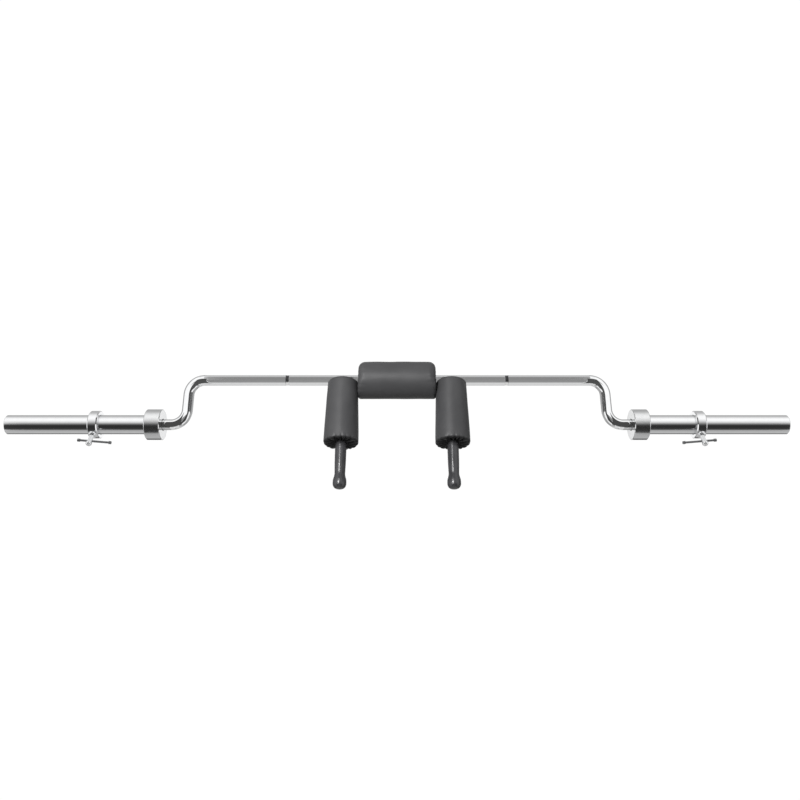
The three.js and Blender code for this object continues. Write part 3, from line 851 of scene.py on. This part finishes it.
def settle(made, roll):
    """Lets a coarser copy of the cover swell as cloth, held at its gathers and seam, and moves the cover with it."""
    places = np.empty(len(made.data.vertices) * 3)
    made.data.vertices.foreach_get("co", places)
    fine = places.reshape(-1, ROLL_SIDES, 3)
    coarse = fine[::2, ::4]
    count, around = coarse.shape[:2]
    cloth = new_object("cover_cloth", coarse.reshape(-1, 3), rings(around, count, True), VINYL, made.matrix_world)
    radius = np.hypot(coarse[..., 0], coarse[..., 1])
    turn = np.arctan2(coarse[..., 1], coarse[..., 0])
    aside = np.abs((turn - roll["seam"] + np.pi) % (2 * np.pi) - np.pi) * radius
    hole = max(roll["start_hole"], roll["end_hole"]) + HOLE_HELD
    held = (radius < hole) | (aside < SEAM_HELD)
    if "saddle" in roll:
        held |= coarse[..., 2] < SADDLE_HELD
    group = cloth.vertex_groups.new(name="held")
    group.add([int(i) for i in np.flatnonzero(held.reshape(-1))], 1.0, "REPLACE")
    change = cloth.modifiers.new("cloth", "CLOTH")
    fabric = change.settings
    fabric.quality = 6
    fabric.mass = 0.3
    fabric.tension_stiffness = fabric.compression_stiffness = 15
    fabric.shear_stiffness = 8
    fabric.bending_stiffness = 3.0
    fabric.shrink_min = fabric.shrink_max = roll["slack"]
    fabric.use_pressure = True
    fabric.uniform_pressure_force = 12
    fabric.vertex_group_mass = "held"
    fabric.effector_weights.gravity = 0
    change.collision_settings.use_collision = False
    change.point_cache.frame_start, change.point_cache.frame_end = 1, SWELL_FRAMES
    scene = bpy.context.scene
    for step in range(1, SWELL_FRAMES + 1):
        scene.frame_set(step)
    bake(cloth)
    swollen = np.empty(count * around * 3)
    cloth.data.vertices.foreach_get("co", swollen)
    bpy.data.objects.remove(cloth)
    scene.frame_set(1)
    moved = swollen.reshape(coarse.shape) - coarse
    length = np.linalg.norm(moved, axis=2, keepdims=True)
    moved *= np.minimum(1, roll["cap"] / np.maximum(length, 1e-9))
    moved = finer(finer(finer(moved, 0)[: fine.shape[0]], 1), 1)
    made.data.vertices.foreach_set("co", (fine + moved).reshape(-1))
    made.data.update()


STITCH_PITCH = 0.0046
STITCH_LENGTH = 0.0033
STITCH_DIP = 0.0006
SEAM_MARGIN = 0.004
LANE = 0.0042
THREAD_R = 0.00042
THREAD_SIDES = 8
THREAD_STEPS = 6


def stitches(name, matrix, roll):
    """Two lines of thread along the seam, as short rounded stitches that dip into the vinyl at both ends."""
    vertices = []
    faces = []
    low, high = roll["start"] + roll["edge_r"] + SEAM_MARGIN, roll["end"] - roll["edge_r"] - SEAM_MARGIN
    count = int((high - low) / STITCH_PITCH)
    for lane in (-LANE, LANE):
        for i in range(count):
            start = low + (high - low) * i / count
            first = len(vertices)
            for j in range(THREAD_STEPS + 1):
                share = j / THREAD_STEPS
                along = start + STITCH_LENGTH * share
                radius = roll["start_r"] + (roll["end_r"] - roll["start_r"]) * (along - low) / (high - low)
                turn = roll["seam"] + lane / radius
                surface_r = fold_in(turn, roll, (along, radius, 0.0, 1.0, 0))[1]
                height = surface_r - 0.0005 + STITCH_DIP * math.sin(math.pi * share)
                for k in range(THREAD_SIDES):
                    angle = 2 * math.pi * k / THREAD_SIDES
                    out = height + THREAD_R * math.cos(angle)
                    aside = turn + THREAD_R * math.sin(angle) / radius
                    vertices.append((out * math.cos(aside), out * math.sin(aside), along))
            faces += [tuple(first + f for f in face) for face in rings(THREAD_SIDES, THREAD_STEPS + 1, False)]
            faces.append(tuple(first + k for k in reversed(range(THREAD_SIDES))))
            faces.append(tuple(first + THREAD_STEPS * THREAD_SIDES + k for k in range(THREAD_SIDES)))
    thread = new_object(name, vertices, faces, THREAD, matrix)
    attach(thread, "bar")


def press_ends(neck):
    """Presses the neck roll's ends in where the shoulder rolls lean on them."""
    to_world = neck.matrix_world
    to_local = to_world.inverted()
    up = Vector((0, HANDLE.z, -HANDLE.y))
    slope = (SHOULDER["end_r"] - SHOULDER["start_r"]) / (SHOULDER["end"] - SHOULDER["start"])
    for vertex in neck.data.vertices:
        place = to_world @ vertex.co
        from_bar = place - BAR
        along = from_bar.dot(HANDLE)
        if along < SHOULDER["start"] - 0.004:
            continue
        reach = SHOULDER["start_r"] + slope * (along - SHOULDER["start"]) + 0.0004
        height = from_bar.dot(up)
        if abs(height) >= reach:
            continue
        limit = SHOULDER_X - math.sqrt(reach**2 - height**2)
        if abs(place.x) > limit:
            place.x = math.copysign(limit, place.x)
            vertex.co = to_local @ place


def rolls():
    place = placed(BAR, (1, 0, 0), (0, 1, 0))
    neck = cover("neck_roll", place, NECK)
    settle(neck, NECK)
    stitches("neck_seam", place, NECK)
    press_ends(neck)
    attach(neck, "bar")
    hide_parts("neck_pad_cover", "neck_pad_foam")
    for side, sign in SIDES:
        origin = Vector((sign * SHOULDER_X, BAR.y, BAR.z))
        place = placed(origin, HANDLE, (1, 0, 0))
        shoulder = cover(side + "_shoulder_roll", place, SHOULDER)
        settle(shoulder, SHOULDER)
        stitches(side + "_shoulder_seam", place, SHOULDER)
        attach(shoulder, "bar")
        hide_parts(side + "_shoulder_pad_cover", side + "_shoulder_pad_foam")


def grips():
    for side, sign in SIDES:
        outside = [(z, max(r, AXIS_R)) for z, r in smooth_line(GRIP_PROFILE, 8)[:-1]]
        end = GRIP_TIP - GRIP_END_WALL
        inside = [(GRIP_TIP, AXIS_R), (end, AXIS_R), (end, HANDLE_R + FIT), (GRIP_START, HANDLE_R + FIT)]
        origin = Vector((sign * SHOULDER_X, BAR.y, BAR.z))
        place = placed(origin, HANDLE, (1, 0, 0))
        grip = turned(side + "_hand_grip", outside + inside, RUBBER, place, 96, True)
        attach(grip, "bar")
        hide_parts(side + "_grip")


def dress_nodes():
    """The small inner pieces keep their CAD shapes and get detailed materials."""
    kinds = {"bushing": BRONZE, "foot": BRONZE, "washer": STEEL, "retaining": STEEL, "handle": STEEL}
    for name, obj in frame["nodes"].items():
        for word, material in kinds.items():
            if word in name:
                obj.data.materials.clear()
                obj.data.materials.append(material)


# The studio's floor.
FLOOR_HALF = 30
FLOOR_DROP = 0.06


def add_floor():
    material, _, shader = surface("floor", Roughness=0.9)
    shader.inputs["Base Color"].default_value = (0.10, 0.10, 0.10, 1)
    shader.inputs["Emission Color"].default_value = (1, 1, 1, 1)
    shader.inputs["Emission Strength"].default_value = 1.0
    corners = [(x * FLOOR_HALF, y * FLOOR_HALF, 0) for x, y in ((-1, -1), (1, -1), (1, 1), (-1, 1))]
    floor = new_object("floor", corners, [(0, 1, 2, 3)], material)
    # It glows evenly and takes no shadow, so it can lie low enough to stay clear of a clamp screw that has turned down.
    floor.location.z = -FLOOR_DROP
    floor.visible_glossy = False
    floor.visible_diffuse = False


# Cards that only reflections see. On each side a dark flag stands high over the main bar, a white reflector lies over
# the S-bend, and two dark shades hang under it, over the S-bend's lower end and along its upper part. A lying card has
# its corners as (x, y) on the right side, its height and its glow, and the flag has (y, z).
FLAG_X = 0.140
FLAG_CORNERS = [(-0.02, 0.15), (0.5, 0.15), (0.5, 0.38), (-0.02, 0.38)]
FLAG_GLOW = 0.13
CARDS = (
    ("_reflector", [(0.503, 0.022), (0.572, 0.022), (0.572, 0.112), (0.503, 0.112)], 0.100, 1.1),
    (
        "_lower_shade",
        [(0.548, -0.045), (0.606, -0.045), (0.606, 0.040), (0.570, 0.040), (0.558, 0.010), (0.548, -0.010)],
        0.076,
        0.07,
    ),
    ("_upper_shade", [(0.500, 0.010), (0.530, 0.010), (0.534, 0.060), (0.531, 0.134), (0.500, 0.134)], 0.086, 0.08),
)


def card(name, corners, glow):
    material, _, shader = surface(name, Roughness=1.0)
    shader.inputs["Base Color"].default_value = (0, 0, 0, 1)
    shader.inputs["Specular IOR Level"].default_value = 0
    shader.inputs["Emission Color"].default_value = (1, 1, 1, 1)
    shader.inputs["Emission Strength"].default_value = glow
    made = new_object(name, corners, [tuple(range(len(corners)))], material)
    made.visible_camera = False
    made.visible_diffuse = False
    made.visible_shadow = False


def add_cards():
    for side, sign in SIDES:
        card(side + "_flag", [(sign * FLAG_X, y, z) for y, z in FLAG_CORNERS], FLAG_GLOW)
        for name, corners, height, glow in CARDS:
            card(side + name, [(sign * x, y, height) for x, y in corners], glow)


# The world. Reflections see soft bands that differ by how far their direction leans aside: (lean from, lean to, how
# soft that border is). Lit surfaces see a dim fill, and the camera sees white.
STRAIGHT_WINDOW = (0.030, 0.238, 0.006)
SLEEVE_WINDOW = (0.262, 0.445, 0.008)
BETWEEN_WINDOW = (-1.0, 0.72, 0.02)


def add_world():
    world = bpy.data.worlds.new("studio")
    bpy.context.scene.world = world
    tree = new_tree(world)
    direction = node(tree, "ShaderNodeTexCoord").outputs["Generated"]
    parts = node(tree, "ShaderNodeSeparateXYZ", {0: direction})
    turn = node(tree, "ShaderNodeMath", {0: parts.outputs[1], 1: parts.outputs[2]}, operation="ARCTAN2")
    share = node(tree, "ShaderNodeMapRange", {0: turn.outputs[0], 1: -math.pi, 2: math.pi})
    rise = node(tree, "ShaderNodeMapRange", {0: parts.outputs[2], 1: -1.0, 2: 1.0}).outputs[0]
    aside = node(tree, "ShaderNodeMath", {0: parts.outputs[0]}, operation="ABSOLUTE")

    def at(degrees):
        """The place on a ramp of a direction turned this far from straight up, towards the back."""
        return (degrees + 180) / 360

    # Brightness by direction round the bar: for sleeves, the straight bar, what lies between them, and beyond.

    sleeves = ramp(
        tree,
        share.outputs[0],
        [
            (at(-180), 1.05),
            (at(-171), 1.0),
            (at(-163), 0.14),
            (at(-145), 0.10),
            (at(-134), 0.40),
            (at(-120), 0.54),
            (at(-90), 0.46),
            (at(-78), 0.38),
            (at(-68), 0.06),
            (at(-45), 0.03),
            (at(-20), 0.028),
            (at(-10), 0.078),
            (at(0), 0.24),
            (at(11), 0.51),
            (at(21), 0.77),
            (at(32), 0.96),
            (at(46), 1.12),
            (at(62), 1.10),
            (at(72), 1.02),
            (at(84), 0.84),
            (at(100), 0.60),
            (at(121), 0.48),
            (at(160), 0.46),
            (at(168), 1.05),
            (at(180), 1.05),
        ],
    )
    straight = ramp(
        tree,
        share.outputs[0],
        [
            (at(-180), 0.66),
            (at(-76), 0.74),
            (at(-62), 0.62),
            (at(-50), 0.32),
            (at(20), 0.27),
            (at(64), 0.29),
            (at(80), 0.62),
            (at(180), 0.62),
        ],
    )
    between = ramp(
        tree,
        share.outputs[0],
        [
            (at(-180), 0.42),
            (at(-102), 0.42),
            (at(-86), 1.05),
            (at(-72), 1.05),
            (at(-60), 0.07),
            (at(-12), 0.07),
            (at(2), 1.10),
            (at(86), 1.10),
            (at(102), 0.42),
            (at(180), 0.42),
        ],
    )
    beyond = ramp(tree, rise, [(0.0, 0.40), (0.47, 0.40), (0.56, 1.10)])

    def window(low, high, soft):
        """1 where the direction leans aside by low to high, and 0 beyond, over a soft edge."""
        opens = node(tree, "ShaderNodeMapRange", {0: aside.outputs[0], 1: low - soft, 2: low + soft})
        shuts = node(
            tree, "ShaderNodeMapRange", {0: aside.outputs[0], 1: high - soft, 2: high + soft, 3: 1.0, 4: 0.0}
        )
        both = {0: opens.outputs[0], 1: shuts.outputs[0]}
        return node(tree, "ShaderNodeMath", both, operation="MULTIPLY").outputs[0]

    def blend(factor, off, on):
        return node(tree, "ShaderNodeMix", {0: factor, 6: off, 7: on}, data_type="RGBA").outputs[2]

    bands = blend(window(*BETWEEN_WINDOW), beyond, between)
    bands = blend(window(*STRAIGHT_WINDOW), bands, straight)
    bands = blend(window(*SLEEVE_WINDOW), bands, sleeves)
    fill = ramp(tree, rise, [(0.3, 0.03), (1.0, 0.22)])
    ray = node(tree, "ShaderNodeLightPath")
    seen = blend(ray.outputs["Is Camera Ray"], fill, (1, 1, 1, 1))
    colour = blend(ray.outputs["Is Glossy Ray"], seen, bands)
    backdrop = node(tree, "ShaderNodeBackground", {0: colour})
    node(tree, "ShaderNodeOutputWorld", {0: backdrop.outputs[0]})


# Lamps as name, place, aim, width, height, power and which of the objects they light, by the ends of their names.
SOFT = ("rolls_and_grips", ("_roll", "_hand_grip", "_seam"))
GRIPS = ("grips_alone", ("_hand_grip",))
LAMPS = (
    ("key", (-0.62, 0.72, 1.9), (0, 0.03, 0.05), 0.7, 0.7, 50, SOFT),
    ("strip", (-0.72, -0.1, 1.9), (0, -0.05, 0.05), 0.34, 1.2, 7, SOFT),
    ("spark", (-0.66, -0.1, 1.9), (0, -0.05, 0.05), 0.2, 1.0, 5, GRIPS),
)


def gathered(name, endings):
    """A collection of the objects whose names end so."""
    made = bpy.data.collections.new(name)
    for obj in bpy.context.scene.objects:
        if obj.name.endswith(endings):
            made.objects.link(obj)
    return made


def add_lamps():
    lit = {group: gathered(*group) for group in (SOFT, GRIPS)}
    for name, place, aim, wide, high, power, group in LAMPS:
        data = bpy.data.lights.new(name, "AREA")
        data.shape = "RECTANGLE"
        data.size, data.size_y = wide, high
        data.energy = power
        lamp = bpy.data.objects.new(name, data)
        bpy.context.scene.collection.objects.link(lamp)
        lamp.location = place
        lamp.rotation_mode = "QUATERNION"
        lamp.rotation_quaternion = (Vector(aim) - Vector(place)).to_track_quat("-Z", "Y")
        lamp.light_linking.receiver_collection = lit[group]


add_camera()
bent_bar()
for side, sign in SIDES:
    sleeve_end(side, sign)
    lock_ring(side, sign)
rolls()
grips()
dress_nodes()
add_floor()
add_cards()
add_world()
add_lamps()
scene = bpy.context.scene
scene.view_settings.view_transform = "Standard"
scene.view_settings.look = "None"
